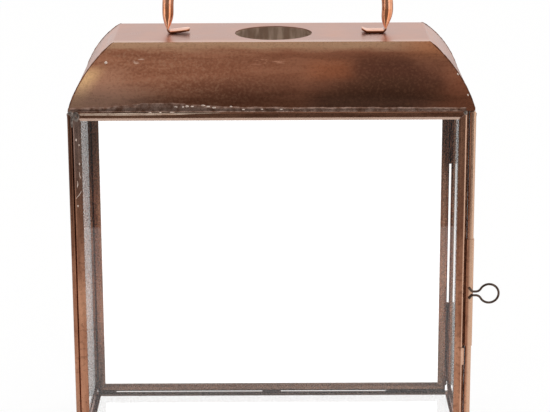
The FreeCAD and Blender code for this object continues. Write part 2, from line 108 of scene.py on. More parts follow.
def linear(code):
    """Turn an sRGB hex code into a linear colour."""
    parts = [int(code[start:start + 2], 16) / 255 for start in (1, 3, 5)]
    return [part / 12.92 if part <= 0.04045 else ((part + 0.055) / 1.055) ** 2.4 for part in parts] + [1.0]


def per(size_mm):
    """Scale of a pattern whose features are so many millimetres wide."""
    return 1000 / size_mm


# %% [markdown]
# ## Light
# Polished metal shows the room. The lantern stood on a white table before a white backdrop, with soft
# light from above, a bright wall on the right and a darker room behind the photographer. The world gives
# that room: white behind and on the right, dim in front and brighter overhead. What the camera sees
# directly, or straight through glass, is white.

# %% World
world = bpy.data.worlds.new("studio")
scene.world = world
world.use_nodes = True
room = world.node_tree
heading = add(room, "ShaderNodeSeparateXYZ", inputs={
    0: add(room, "ShaderNodeTexCoord").outputs["Generated"]}).outputs
ceiling = add(room, "ShaderNodeMapRange", {"interpolation_type": "SMOOTHSTEP"}, {
    "Value": heading["Z"], "From Min": 0.45, "From Max": 0.82, "To Min": 0.22, "To Max": 0.56})
skylight = add(room, "ShaderNodeMapRange", {"interpolation_type": "SMOOTHSTEP"}, {
    "Value": heading["Z"], "From Min": 0.97, "From Max": 0.995, "To Max": 0.45})
overhead = add(room, "ShaderNodeMath", {"operation": "ADD"}, {
    0: ceiling.outputs[0], 1: skylight.outputs[0]})
backdrop = add(room, "ShaderNodeMapRange", {"interpolation_type": "SMOOTHSTEP"}, {
    "Value": heading["Y"], "From Min": 0.0, "From Max": 0.3})
right_wall = add(room, "ShaderNodeMapRange", {"interpolation_type": "SMOOTHSTEP"}, {
    "Value": heading["X"], "From Min": 0.4, "From Max": 0.8, "To Max": 0.9})
bright = add(room, "ShaderNodeMath", {"operation": "MAXIMUM"}, {
    0: backdrop.outputs[0], 1: right_wall.outputs[0]})
around = add(room, "ShaderNodeMix", inputs={
    0: bright.outputs[0], 2: overhead.outputs[0], 3: 1.0})
ray = add(room, "ShaderNodeLightPath").outputs
bounces = add(room, "ShaderNodeMath", {"operation": "ADD"}, {
    0: ray["Glossy Depth"], 1: ray["Diffuse Depth"]})
direct = add(room, "ShaderNodeMath", {"operation": "LESS_THAN"}, {0: bounces.outputs[0], 1: 0.5})
# Each pane takes a little light away, and the backdrop behind it was bright enough to stay white
PANE_FACES = 8.0
BEHIND_PANES = 1.7
through = add(room, "ShaderNodeMapRange", inputs={
    "Value": ray["Transmission Depth"], "From Max": PANE_FACES, "To Min": 1.0, "To Max": BEHIND_PANES})
seen = add(room, "ShaderNodeMix", inputs={
    0: direct.outputs[0], 2: around.outputs[0], 3: through.outputs[0]})
room.links.new(seen.outputs[0], room.nodes["Background"].inputs["Strength"])
room.nodes["Background"].inputs["Color"].default_value = linear("#ffffff")
print("a white room with a dim front")

# %% Lamps
LAMP_TARGET = Vector((0, 0, 0.3))


def soft_lamp(name, place, width, height, watts):
    """A rectangle of soft light, aimed at the lantern."""
    lamp = bpy.data.lights.new(name, "AREA")
    lamp.shape = "RECTANGLE"
    lamp.size = width
    lamp.size_y = height
    lamp.energy = watts
    holder = bpy.data.objects.new(name, lamp)
    scene.collection.objects.link(holder)
    holder.location = place
    aim = LAMP_TARGET - Vector(place)
    holder.rotation_euler = aim.to_track_quat("-Z", "Y").to_euler()


soft_lamp("front_lamp", (-0.2, -1.15, 2.05), 2.4, 1.2, 2.7)
soft_lamp("right_lamp", (1.0, -1.6, 0.4), 0.8, 1.6, 4.5)
soft_lamp("left_lamp", (-1.75, -0.6, 0.55), 0.5, 1.3, 2.5)
print("three soft lamps")

# %% Table
# White paper over a table: it lights the lantern from below and keeps a soft shadow. Its front edge is
# hollow before the lantern, where the photographer stands
TABLE_EDGE = [(-3, -1.3), (-0.6, -1.3), (-0.5, -0.85), (0.5, -0.85),
              (0.6, -1.3), (3, -1.3), (3, 4), (-3, 4)]
PLAIN_WHITE = 0.88
table_mesh = bpy.data.meshes.new("table")
table_mesh.from_pydata([(x, y, 0) for x, y in TABLE_EDGE], [], [range(len(TABLE_EDGE))])
table = bpy.data.objects.new("table", table_mesh)
scene.collection.objects.link(table)
white_table = bpy.data.materials.new("white table")
white_table.use_nodes = True
top = white_table.node_tree
top.nodes.remove(top.nodes["Principled BSDF"])
ray = add(top, "ShaderNodeLightPath").outputs
# Metal and glass mirror the table's near side as white, and its far side, away from the lamps, as grey
spot = add(top, "ShaderNodeSeparateXYZ", inputs={
    0: add(top, "ShaderNodeTexCoord").outputs["Object"]}).outputs
far_side = add(top, "ShaderNodeMapRange", {"interpolation_type": "SMOOTHSTEP"}, {
    "Value": spot["Y"], "From Min": 0.35, "From Max": 1.1, "To Min": 1.0, "To Max": 0.4})
mirrored = add(top, "ShaderNodeMath", {"operation": "GREATER_THAN"}, {0: ray["Glossy Depth"], 1: 0.5})
looking = add(top, "ShaderNodeMath", {"operation": "MAXIMUM"}, {
    0: ray["Is Camera Ray"], 1: ray["Is Glossy Ray"]})
looking = add(top, "ShaderNodeMath", {"operation": "MAXIMUM"}, {
    0: looking.outputs[0], 1: ray["Is Transmission Ray"]})
share = add(top, "ShaderNodeMath", {"operation": "MULTIPLY"}, {0: looking.outputs[0], 1: PLAIN_WHITE})
through = add(top, "ShaderNodeMapRange", inputs={
    "Value": ray["Transmission Depth"], "From Max": PANE_FACES, "To Min": 1.04, "To Max": BEHIND_PANES})
shine = add(top, "ShaderNodeMix", inputs={
    0: mirrored.outputs[0], 2: through.outputs[0], 3: far_side.outputs[0]})
paper = add(top, "ShaderNodeBsdfDiffuse", inputs={"Color": linear("#f4f3f1")})
glow = add(top, "ShaderNodeEmission", inputs={"Strength": shine.outputs[0]})
mixed = add(top, "ShaderNodeMixShader", inputs={
    0: share.outputs[0], 1: paper.outputs[0], 2: glow.outputs[0]})
top.links.new(mixed.outputs[0], top.nodes["Material Output"].inputs["Surface"])
table_mesh.materials.append(white_table)
print("table")

# %% [markdown]
# ## Copper finishes
# All of the metal but the pull and the solder is copper, and no two pieces have aged alike. The channels
# are brown and mottled, the roof is burnished and streaked by heat, and the handle is bright where hands
# rub it. Each finish is a metal whose colour and roughness drift with soft noise at a real size.

# %% Finish helper
def new_finish(name):
    """A material with its node tree, its shader and the coordinates that patterns read."""
    material = bpy.data.materials.new(name)
    material.use_nodes = True
    tree = material.node_tree
    place = add(tree, "ShaderNodeTexCoord").outputs["Object"]
    return material, tree, tree.nodes["Principled BSDF"], place


def lay_tints(tree, colour, values, tints):
    """Mix more tones into a colour. A tint is a hex code, its share, and the limits of where it lies:
    each limit names a value and gives where the tint starts and where it is full."""
    for code, share, limits in tints:
        mask = share
        for name, start, full in limits:
            within = add(tree, "ShaderNodeMapRange", {"interpolation_type": "SMOOTHSTEP"}, {
                "Value": values[name], "From Min": start, "From Max": full})
            mask = add(tree, "ShaderNodeMath", {"operation": "MULTIPLY"}, {
                0: within.outputs[0], 1: mask}).outputs[0]
        colour = add(tree, "ShaderNodeMix", {"data_type": "RGBA"}, {
            0: mask, 6: colour, 7: linear(code)}).outputs[2]
    return colour


def aged_metal(name, bright, plain, dark, patch_mm, rough, stretch=(1, 1, 1), grime=0.45, tints=()):
    """Metal with soft patches of tone, drawn out along the way it was rolled, and small dark stains."""
    material, tree, shader, place = new_finish(name)
    spot = add(tree, "ShaderNodeSeparateXYZ", inputs={0: place}).outputs
    facing = add(tree, "ShaderNodeSeparateXYZ", inputs={
        0: add(tree, "ShaderNodeNewGeometry").outputs["Normal"]}).outputs["Z"]
    values = {"X": spot["X"], "Y": spot["Y"], "Z": spot["Z"], "facing": facing}
    rolled = add(tree, "ShaderNodeMapping", inputs={"Vector": place, "Scale": stretch}).outputs[0]
    patches = add(tree, "ShaderNodeTexNoise", inputs={
        "Vector": rolled, "Scale": per(patch_mm), "Detail": 3.0, "Roughness": 0.55})
    specks = add(tree, "ShaderNodeTexNoise", inputs={
        "Vector": place, "Scale": per(patch_mm / 3), "Detail": 3.0, "Roughness": 0.5})
    worn = add(tree, "ShaderNodeMapRange", {"interpolation_type": "SMOOTHSTEP"}, {
        "Value": patches.outputs["Fac"], "From Min": 0.32, "From Max": 0.68})
    stain = add(tree, "ShaderNodeMapRange", {"interpolation_type": "SMOOTHSTEP"}, {
        "Value": specks.outputs["Fac"], "From Min": 0.5, "From Max": 0.78, "To Max": grime})
    base = add(tree, "ShaderNodeMix", {"data_type": "RGBA"}, {
        0: worn.outputs[0], 6: linear(plain), 7: linear(bright)})
    stained = add(tree, "ShaderNodeMix", {"data_type": "RGBA"}, {
        0: stain.outputs[0], 6: base.outputs[2], 7: linear(dark)})
    colour = lay_tints(tree, stained.outputs[2], values, tints)
    roughness = add(tree, "ShaderNodeMapRange", inputs={
        "Value": specks.outputs["Fac"], "From Min": 0.3, "From Max": 0.7,
        "To Min": rough - 0.06, "To Max": rough + 0.1})
    dents = add(tree, "ShaderNodeBump", inputs={
        "Height": patches.outputs["Fac"], "Strength": 0.3, "Distance": 0.25 * MM})
    tree.links.new(colour, shader.inputs["Base Color"])
    tree.links.new(roughness.outputs[0], shader.inputs["Roughness"])
    tree.links.new(dents.outputs[0], shader.inputs["Normal"])
    shader.inputs["Metallic"].default_value = 1.0
    return material


# %% Channel copper
# Rolled copper strip, folded by hand and never polished: its brown tone changes slowly along each length
# and quickly across it. It grows darker towards the roof, and the lengths at the back and on the left carry
# painted shade that deepens towards the roof. Painted highlights lie along the outer folds of the stiles,
# the door and the top rail's lip, and the iron has left a grey film of tin on the front left stile. The
# lowest lengths at the back are grey
CHANNEL_TONES = ("#b98468", "#875640", "#4b2d23")
CHANNEL_PATCH = 9
UPRIGHT = (1, 1, 0.12)
ACROSS = (0.12, 1, 1)
FRONT_TO_BACK = (1, 0.12, 1)
# Darker towards the roof
DARKER_TOWARDS_ROOF = ("#4b342b", 0.4, [("Z", 0.10, 0.27)])
# Painted shade on the back and left lengths, deepest towards the roof
SHADE_TOWARDS_ROOF = ("#3a2821", 0.72, [("Z", 0.14, 0.27)])
TINNED = ("#a58f85", 0.55, [("X", -0.1620, -0.1640), ("Z", 0.225, 0.300)])
TARNISH = ("#6c675e", 0.45, [("Z", 0.095, 0.015)])
REAR_TARNISH = ("#5d5b53", 0.65, [("Y", 0.070, 0.076), ("Z", 0.0090, 0.0045)])
# Painted highlights along the outer folds of the front right stile, the front left stile, the door's stile
# and a back stile, and along the top rail's lip
STILE_FOLD_HIGHLIGHT = ("#e6bda2", 0.75, [("X", 0.1652, 0.1662), ("X", 0.1684, 0.1674)])
LEFT_STILE_HIGHLIGHT = ("#d29c7c", 0.5, [("X", -0.150, -0.160), ("Z", 0.182, 0.158), ("Z", 0.120, 0.145)])
DOOR_FOLD_HIGHLIGHT = ("#dfb79b", 0.8, [("X", 0.1703, 0.1726), ("Z", -0.06, 0.10)])
BACK_STILE_HIGHLIGHT = ("#c4977c", 0.55, [("X", 0.1612, 0.1626), ("X", 0.1652, 0.1640), ("Z", 0.235, 0.215)])
RAIL_LIP_HIGHLIGHT = ("#eccbb8", 0.8, [("Z", 0.3115, 0.3125), ("Z", 0.3152, 0.3144)])
upright_copper = aged_metal("channel copper, upright", *CHANNEL_TONES, CHANNEL_PATCH, 0.24, UPRIGHT,
                            tints=[DARKER_TOWARDS_ROOF, TINNED, STILE_FOLD_HIGHLIGHT, LEFT_STILE_HIGHLIGHT, DOOR_FOLD_HIGHLIGHT])
cross_copper = aged_metal("channel copper, across", *CHANNEL_TONES, CHANNEL_PATCH, 0.24, ACROSS,
                          tints=[DARKER_TOWARDS_ROOF, REAR_TARNISH, RAIL_LIP_HIGHLIGHT])
depth_copper = aged_metal("channel copper, front to back", *CHANNEL_TONES, CHANNEL_PATCH, 0.24,
                          FRONT_TO_BACK, tints=[DARKER_TOWARDS_ROOF, DOOR_FOLD_HIGHLIGHT])
# The back and left lengths, seen through the glass, take the painted shade
shaded_upright_copper = aged_metal("channel copper in painted shade, upright", *CHANNEL_TONES, CHANNEL_PATCH, 0.26,
                            UPRIGHT, tints=[SHADE_TOWARDS_ROOF, BACK_STILE_HIGHLIGHT, TARNISH])
shaded_cross_copper = aged_metal("channel copper in painted shade, across", *CHANNEL_TONES, CHANNEL_PATCH, 0.26,
                          ACROSS, tints=[SHADE_TOWARDS_ROOF, TARNISH])
print("channel copper in three directions, and in painted shade")

# %% Handle, hinges, pull and solder
# Drawn copper tube, kept bright by hands, with painted shade on the sides and undersides of its feet
FOOT_SIDE_SHADE = ("#70402b", 0.85, [("Z", 0.3785, 0.3765), ("facing", 0.92, 0.7)])
handle_copper = aged_metal("polished handle copper", "#f5b391", "#df9166", "#a3522b", 14, 0.15, grime=0.25,
                           tints=[FOOT_SIDE_SHADE])
# Cut copper sheet that nobody touches: dark and dull. On the hip beads and the door stop, the same dark tone
# is painted shade
hinge_copper = aged_metal("dark hinge copper, also painted shade", "#8a5e48", "#5c3a2c", "#33201a", 8, 0.34)
# Black iron wire with a brown bloom of rust, rubbed smooth by fingers
pull_iron = aged_metal("dark pull wire", "#6a574c", "#473932", "#2a201c", 5, 0.36)
# Tin and lead solder: grey and dull where it lies thick, browned by smoke where it ran thin over the copper
dull_solder = aged_metal("dull solder", "#c4afa4", "#9a857a", "#5e4a42", 4, 0.38)
flowed_solder = aged_metal("flowed solder", "#ab8c7e", "#785545", "#4c342b", 6, 0.27, grime=0.35)
bright_solder = aged_metal("fresh solder drops", "#f6e6da", "#dfc6b6", "#a88a7a", 3, 0.42)
# Pale solder for the bead under the front eaves: a painted highlight along the top rail's fold
fold_highlight_solder = aged_metal("pale solder, painted highlight", "#e2cab6", "#bd9c86", "#7c5b4b", 7, 0.22, (0.2, 1, 1))
smoked_solder = aged_metal("smoked solder", "#8d8078", "#61544d", "#352b27", 4, 0.33)
print("handle, hinge, pull and solder finishes")


# %% [markdown]
# ## Roof copper
# The roof is one kind of sheet, rubbed bright and then tinted by the candle's heat. Its flat top and its
# ends kept a pale pink copper. The front slope went deep brown towards the door and stayed warm on the left,
# and a lighter band along its upper fold, on the faces that turn up, is a painted highlight. Painted gold
# highlights lie along the left hip and on the corner below it, a fine grain runs through the oxide, and two
# scuffs cross the sheet. The underside was never polished, and its colour is painted lighter for the light
# that reaches it from below. Each of these is a soft mask of where it lies on the roof, broken by noise,
# that mixes one more tone into the copper.

# %% Roof finish
# Half the roof's length and depth at the eaves, in millimetres
EAVES_X = 173.5
EAVES_Y = 83.7


def roof_base(name, light, plain, rough):
    """Burnished sheet with soft mottling and a dull underside; gives the values that tints read."""
    material, tree, shader, place = new_finish(name)
    facing = add(tree, "ShaderNodeSeparateXYZ", inputs={
        0: add(tree, "ShaderNodeNewGeometry").outputs["Normal"]}).outputs["Z"]
    clouds = add(tree, "ShaderNodeTexNoise", inputs={
        "Vector": place, "Scale": per(60), "Detail": 3.0, "Roughness": 0.5}).outputs["Fac"]
    rolled = add(tree, "ShaderNodeMapping", inputs={"Vector": place, "Scale": (0.12, 0.12, 1)}).outputs[0]
    mottle = add(tree, "ShaderNodeTexNoise", inputs={
        "Vector": rolled, "Scale": per(6), "Detail": 4.0, "Roughness": 0.6}).outputs["Fac"]
    soft = add(tree, "ShaderNodeMapRange", {"interpolation_type": "SMOOTHSTEP"}, {
        "Value": mottle, "From Min": 0.36, "From Max": 0.66}).outputs[0]
    sheet = add(tree, "ShaderNodeMix", {"data_type": "RGBA"}, {0: soft, 6: linear(plain), 7: linear(light)})
    under = add(tree, "ShaderNodeMapRange", inputs={
        "Value": facing, "From Min": -0.02, "From Max": -0.08}).outputs[0]
    polish = add(tree, "ShaderNodeMapRange", inputs={
        "Value": mottle, "From Min": 0.3, "From Max": 0.7, "To Min": rough - 0.05, "To Max": rough + 0.07})
    roughness = add(tree, "ShaderNodeMix", inputs={0: under, 2: polish.outputs[0], 3: 0.6})
    waves = add(tree, "ShaderNodeBump", inputs={"Height": clouds, "Strength": 0.5, "Distance": 0.8 * MM})
    tree.links.new(roughness.outputs[0], shader.inputs["Roughness"])
    tree.links.new(waves.outputs[0], shader.inputs["Normal"])
    shader.inputs["Metallic"].default_value = 1.0
    spot = add(tree, "ShaderNodeSeparateXYZ", inputs={0: place}).outputs
    values = {"place": place, "X": spot["X"], "Y": spot["Y"], "Z": spot["Z"], "facing": facing,
              "clouds": clouds, "mottle": mottle, "under": under, "sheet": sheet.outputs[2]}
    return material, tree, values


def finish_roof(tree, values, tints):
    """Lay the tints on the sheet, put the dull underside, painted lighter, under it and link it to the
    shader.
    """
    colour = lay_tints(tree, values["sheet"], values, tints)
    up_slope = add(tree, "ShaderNodeMapping", inputs={
        "Vector": values["place"], "Scale": (1, 0.1, 0.1)}).outputs[0]
    strokes = add(tree, "ShaderNodeTexNoise", inputs={
        "Vector": up_slope, "Scale": per(5), "Detail": 3.0, "Roughness": 0.6}).outputs["Fac"]
    brushed = add(tree, "ShaderNodeMapRange", inputs={"Value": strokes, "From Min": 0.38, "From Max": 0.62})
    # The raw underside is dull copper, painted lighter for the light that reaches it from below
    raw = add(tree, "ShaderNodeMix", {"data_type": "RGBA"}, {
        0: brushed.outputs[0], 6: linear("#a1836f"), 7: linear("#ccb19c")})
    whole = add(tree, "ShaderNodeMix", {"data_type": "RGBA"}, {
        0: values["under"], 6: colour, 7: raw.outputs[2]})
    tree.links.new(whole.outputs[2], tree.nodes["Principled BSDF"].inputs["Base Color"])


# Burnished copper sheet: pale pink, with a soft gleam that shows the backdrop
roof_copper, roof_tree, roof_values = roof_base("burnished roof copper", "#c4927e", "#b17e6b", 0.3)
ROOF_TINTS = [
    ("#8a5743", 0.5, [("clouds", 0.50, 0.68), ("Z", 0.370, 0.360)]),
    ("#6f4534", 0.5, [("Z", 0.346, 0.322)]),
    ("#c9967f", 0.4, [("mottle", 0.56, 0.70)]),
    ("#dcb7a4", 0.6, [("Y", -0.034, -0.046), ("Z", 0.3722, 0.3728)]),
]
finish_roof(roof_tree, roof_values, ROOF_TINTS)
print("roof copper")

# %% Front slope
# The same sheet after years of candles: oxide tints it brown, deepest a third of the way in from the door
front_copper, front_tree, slope = roof_base("heat-tinted roof copper", "#ab7358", "#925d45", 0.26)
# Both edges of the deep brown wander with the noise, and lean in towards the top
MIDDLE_HEIGHT = 0.345
wander = add(front_tree, "ShaderNodeMath", {"operation": "MULTIPLY_ADD"}, {
    0: slope["clouds"], 1: 0.08, 2: slope["X"]}).outputs[0]
for name, gradient in (("from the left", -0.9), ("from the right", 0.9)):
    leaning_in = add(front_tree, "ShaderNodeMath", {"operation": "MULTIPLY_ADD"}, {
        0: slope["Z"], 1: gradient, 2: -MIDDLE_HEIGHT * gradient}).outputs[0]
    slope[name] = add(front_tree, "ShaderNodeMath", {"operation": "ADD"}, {
        0: wander, 1: leaning_in}).outputs[0]
# The painted highlight along the upper fold follows how far the sheet faces up, with a lower edge that noise
# breaks up
slope["upward sheen"] = add(front_tree, "ShaderNodeMath", {"operation": "MULTIPLY_ADD"}, {
    0: slope["mottle"], 1: 0.1, 2: slope["facing"]}).outputs[0]
# The left hip runs at 45 degrees in plan, so X less Y is the same all along it
along_hip = add(front_tree, "ShaderNodeMath", {"operation": "SUBTRACT"}, {0: slope["X"], 1: slope["Y"]})
slope["from hip"] = add(front_tree, "ShaderNodeMath", {"operation": "ADD"}, {
    0: along_hip.outputs[0], 1: (EAVES_X - EAVES_Y) * MM}).outputs[0]
# Years of wiping leave a fine grain in the oxide
slope["grain"] = add(front_tree, "ShaderNodeTexNoise", inputs={
    "Vector": slope["place"], "Scale": per(2.2), "Detail": 2.0, "Roughness": 0.6}).outputs["Fac"]
# Scuffs are bundles of fine strokes that lean a little
leaning = add(front_tree, "ShaderNodeMapping", inputs={
    "Vector": slope["place"], "Rotation": (0, math.radians(12), 0), "Scale": (0.2, 1, 1)}).outputs[0]
slope["strokes"] = add(front_tree, "ShaderNodeTexNoise", inputs={
    "Vector": leaning, "Scale": per(1.6), "Detail": 2.0, "Roughness": 0.6}).outputs["Fac"]
FRONT_TINTS = [
    # Brown that deepens towards the door, and the dark belt above the eaves
    ("#7a4a36", 0.5, [("from the left", -0.16, 0.06)]),
    ("#563428", 0.95, [("from the left", 0.062, 0.132), ("from the right", 0.208, 0.166),
                       ("Z", 0.3715, 0.3560)]),
    ("#4f2f25", 0.4, [("X", -0.110, -0.030), ("X", 0.055, 0.005), ("Z", 0.353, 0.340),
                      ("Z", 0.324, 0.333)]),
    ("#9c6f5b", 0.35, [("X", 0.010, 0.060), ("Z", 0.336, 0.325)]),
    ("#7d4630", 0.55, [("from the left", 0.165, 0.215)]),
    # A painted highlight along the upper fold, where the sheet faces up, pale on the left and warm on the
    # right, and the warm foot by the door
    ("#b08e70", 0.75, [("upward sheen", 0.755, 0.835), ("X", 0.150, 0.090)]),
    ("#b9794f", 0.4, [("upward sheen", 0.690, 0.810), ("X", 0.100, 0.138)]),
    ("#a4654a", 0.4, [("X", 0.118, 0.160), ("Z", 0.346, 0.328)]),
    # Painted highlights: gold along the left hip, and a pale one on the corner below it
    ("#c08f74", 0.4, [("from hip", 0.050, 0.020), ("Z", 0.335, 0.345), ("Z", 0.360, 0.350)]),
    ("#f0c08a", 0.9, [("from hip", 0.019, 0.003), ("Z", 0.316, 0.336), ("Z", 0.359, 0.347)]),
    ("#d0a48d", 0.7, [("X", -0.070, -0.155), ("Z", 0.350, 0.328)]),
    # The olive heart of the deep brown, and a warm patch beside it
    ("#3b2e20", 0.3, [("from the left", 0.092, 0.130), ("from the right", 0.185, 0.150),
                      ("Z", 0.354, 0.342), ("Z", 0.318, 0.332)]),
    ("#a85c35", 0.25, [("X", 0.022, 0.042), ("X", 0.078, 0.058), ("Z", 0.342, 0.350),
                       ("Z", 0.364, 0.356)]),
    # Grain, and two scuffs
    ("#c39a7e", 0.24, [("grain", 0.50, 0.66), ("X", 0.040, -0.090)]),
    ("#8a6048", 0.2, [("grain", 0.50, 0.66)]),
    ("#43291d", 0.2, [("grain", 0.50, 0.36)]),
    ("#e0bda8", 0.75, [("X", -0.1215, -0.1165), ("X", -0.1075, -0.1125), ("Z", 0.3570, 0.3585),
                       ("Z", 0.3624, 0.3609), ("strokes", 0.54, 0.62)]),
    ("#c08a70", 0.6, [("X", -0.0280, -0.0200), ("X", 0.0140, 0.0060), ("Z", 0.3560, 0.3580),
                      ("Z", 0.3620, 0.3600), ("strokes", 0.55, 0.63)]),
]
finish_roof(front_tree, slope, FRONT_TINTS)
print(f"front slope with {len(FRONT_TINTS)} tints")

# %% [markdown]
# ## Window glass
# Clear glass is nearly invisible face on and a mirror at a low angle, which is how the end panes look in
# the picture. The panes are solid boxes, so a full glass shader bends light as a real pane does. Window
# glass is never quite flat, so a faint wave stirs what it mirrors.

# %% Glass
# Window glass with polished faces: it takes no colour, and mirrors more the lower the angle
window_glass, glass_tree, shader, place = new_finish("clear window glass")
ripple = add(glass_tree, "ShaderNodeTexNoise", inputs={"Vector": place, "Scale": per(70), "Detail": 1.0})
wave = add(glass_tree, "ShaderNodeBump", inputs={
    "Height": ripple.outputs["Fac"], "Strength": 0.2, "Distance": 0.1 * MM})
glass_tree.links.new(wave.outputs[0], shader.inputs["Normal"])
shader.inputs["Base Color"].default_value = linear("#ffffff")
shader.inputs["Transmission Weight"].default_value = 1.0
shader.inputs["Roughness"].default_value = 0.0
shader.inputs["IOR"].default_value = 1.5
print("window glass")

# %% Finishes on the measured pieces
finishes = {
    "roof_copper": roof_copper, "handle_copper": handle_copper, "hinge_copper": hinge_copper,
    "pull_wire": pull_iron, "solder": dull_solder, "window_glass": window_glass,
}


def channel_finish(name):
    """The channel finish that runs along a piece's longest side."""
    low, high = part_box(name)
    lengths = list(high - low)
    return (cross_copper, depth_copper, upright_copper)[lengths.index(max(lengths))]


for subpart in frame["record"]["subparts"]:
    name = subpart["node"]
    chosen = finishes.get(subpart["material_slot"]) or channel_finish(name)
    nodes[name].data.materials.clear()
    nodes[name].data.materials.append(chosen)
nodes["roof_front"].data.materials[0] = front_copper
for name in ("back_left_stile", "back_right_stile", "left_front_stile", "left_rear_stile"):
    nodes[name].data.materials[0] = shaded_upright_copper
for name in ("back_top_rail", "back_bottom_rail"):
    nodes[name].data.materials[0] = shaded_cross_copper
print(f"{len(nodes)} pieces finished")

# %% [markdown]
# ## Handle
# The handle is one copper tube, bent to a bow by hand. Its ends were squeezed flat, bent inwards and laid
# on the roof, and the two feet came out a little different. A bevelled curve can't turn from round to flat,
# so a chain of rings follows the tube's middle line instead. Each ring is a superellipse. Its half sizes
# change as the tube is squeezed, and its power changes in the bend, from an oval to a rounded strip.

# %% Handle
# Lengths are in millimetres
BOW_MIDDLE = Vector((5.6, 0, 394.4))
BOW_RADIUS = 97.0
TUBE_HALF = 5.0
FOOT_THICK_HALF = 1.2
FOOT_WIDE_HALF = 7.75
FOOT_TURN = 3.2
SQUEEZE_LENGTH = 16.6
SQUEEZE_START = 0.12
SQUEEZE_EASE = 2.2
TIP_ROUND = 4.5
CURL_LENGTH = 5.0
OVAL_POWER = 2.0
STRIP_POWER = 4.5
RING_SIDES = 32
BOW_STEPS = 96
SQUEEZE_STEPS = 14
TURN_STEPS = 8
FOOT_STEPS = 20


def eased(share):
    """Go from 0 to 1 with a soft start and a soft end."""
    share = min(max(share, 0.0), 1.0)
    return share * share * (3 - 2 * share)


def foot_rings(lean, length, rise, curl):
    """Rings from the end of the bow to the foot's tip: across, up, direction, half sizes and power."""
    rings = []
    for step in range(1, SQUEEZE_STEPS + 1):
        share = step / SQUEEZE_STEPS
        flat = (max(share - SQUEEZE_START, 0.0) / (1 - SQUEEZE_START)) ** SQUEEZE_EASE
        rings.append((BOW_RADIUS - lean * eased(share), -SQUEEZE_LENGTH * share, 0.0,
                      TUBE_HALF + (FOOT_THICK_HALF - TUBE_HALF) * flat,
                      TUBE_HALF + (FOOT_WIDE_HALF - TUBE_HALF) * flat, OVAL_POWER))
    turn_x = BOW_RADIUS - lean - FOOT_TURN
    for step in range(1, TURN_STEPS + 1):
        angle = math.pi / 2 * step / TURN_STEPS
        power = OVAL_POWER + (STRIP_POWER - OVAL_POWER) * step / TURN_STEPS
        rings.append((turn_x + FOOT_TURN * math.cos(angle), -SQUEEZE_LENGTH - FOOT_TURN * math.sin(angle),
                      -angle, FOOT_THICK_HALF, FOOT_WIDE_HALF, power))
    for step in range(1, FOOT_STEPS + 1):
        gone = length * step / FOOT_STEPS
        left = min(length - gone, TIP_ROUND)
        wide = FOOT_WIDE_HALF - TIP_ROUND + math.sqrt(TIP_ROUND ** 2 - (TIP_ROUND - left) ** 2)
        up = rise * gone / length + curl * eased((gone - length + CURL_LENGTH) / CURL_LENGTH)
        rings.append((turn_x - gone, up - SQUEEZE_LENGTH - FOOT_TURN, -math.pi / 2,
                      FOOT_THICK_HALF, wide, STRIP_POWER))
    return rings


def ring_points(across, up, direction, thick, wide, power):
    """One superellipse, with its thickness along the direction and its width along Y."""
    outward = Vector((math.cos(direction), 0, math.sin(direction)))
    middle = BOW_MIDDLE + Vector((across, 0, up))
    points = []
    for side in range(RING_SIDES):
        turn = 2 * math.pi * side / RING_SIDES
        first, second = math.cos(turn), math.sin(turn)
        first = math.copysign(abs(first) ** (2 / power), first)
        second = math.copysign(abs(second) ** (2 / power), second)
        points.append((middle + outward * thick * first + Vector((0, wide * second, 0))) * MM)
    return points


right_foot = foot_rings(lean=1.6, length=18.1, rise=0.0, curl=1.8)
left_foot = foot_rings(lean=-0.3, length=16.2, rise=1.9, curl=0.0)
rings = [ring_points(*ring) for ring in reversed(right_foot)]
for step in range(BOW_STEPS + 1):
    angle = math.pi * step / BOW_STEPS
    rings.append(ring_points(BOW_RADIUS * math.cos(angle), BOW_RADIUS * math.sin(angle), angle,
                             TUBE_HALF, TUBE_HALF, OVAL_POWER))
for across, up, direction, *shape in left_foot:
    rings.append(ring_points(-across, up, math.pi - direction, *shape))


def skin(name, rows, closed):
    """Join rows of points with quads; closed rows run all the way round and get end caps."""
    shape = bmesh.new()
    rows = [[shape.verts.new(point) for point in row] for row in rows]
    sides = len(rows[0])
    for row, following in zip(rows, rows[1:]):
        for side in range(sides if closed else sides - 1):
            turn = (side + 1) % sides
            shape.faces.new((row[side], row[turn], following[turn], following[side]))
    if closed:
        shape.faces.new(rows[0])
        shape.faces.new(rows[-1])
        bmesh.ops.recalc_face_normals(shape, faces=shape.faces)
    for face in shape.faces:
        face.smooth = len(face.verts) == 4
    mesh = bpy.data.meshes.new(name)
    shape.to_mesh(mesh)
    shape.free()
    piece = bpy.data.objects.new(name, mesh)
    scene.collection.objects.link(piece)
    return piece


bow = skin("bow_handle", rings, closed=True)
bow.data.materials.append(handle_copper)
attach(bow, "lantern")
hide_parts("handle")
print(f"handle of {len(rings)} rings")

# %% [markdown]
# ## Solder along the eaves
# The roof is soldered to the walls by hand, and the solder has run up the foot of the roof in an uneven
# grey band. It is a thin skin over two surfaces, so it is a strip of quads whose lower edge lies on the
# rail's fold and whose upper edge wanders on the roof. Soft noise from one fixed pattern makes the lumps.
# Nothing is soldered above the door, which has to open.

# %% Solder along the eaves
# Millimetres. A run's foot is given as places out from the wall and up from the roof's foot
ROOF_FOOT = 320.0
FOOT_LEAN = 0.32
LEAN_START = 2.5
FOLD_RADIUS = 2.0
FOLD_INSET = 0.7
RUN_STEP = 0.8
RUN_FOOT = [(0.85, 0.2), (0.75, 0.9), (0.6, 1.7)]
RUN_SHARES = (0.3, 0.55, 0.75, 0.9, 1.0)
TOP_WANDER = 0.6
LUMP_SWELL = 0.22
EDGE_SINK = 0.06


def run_height(along, marks):
    """Height of the solder between the marked places, each a place and a height."""
    for (start, low), (end, high) in zip(marks, marks[1:]):
        if start <= along <= end:
            return low + (high - low) * eased((along - start) / (end - start))
    return marks[-1][1]


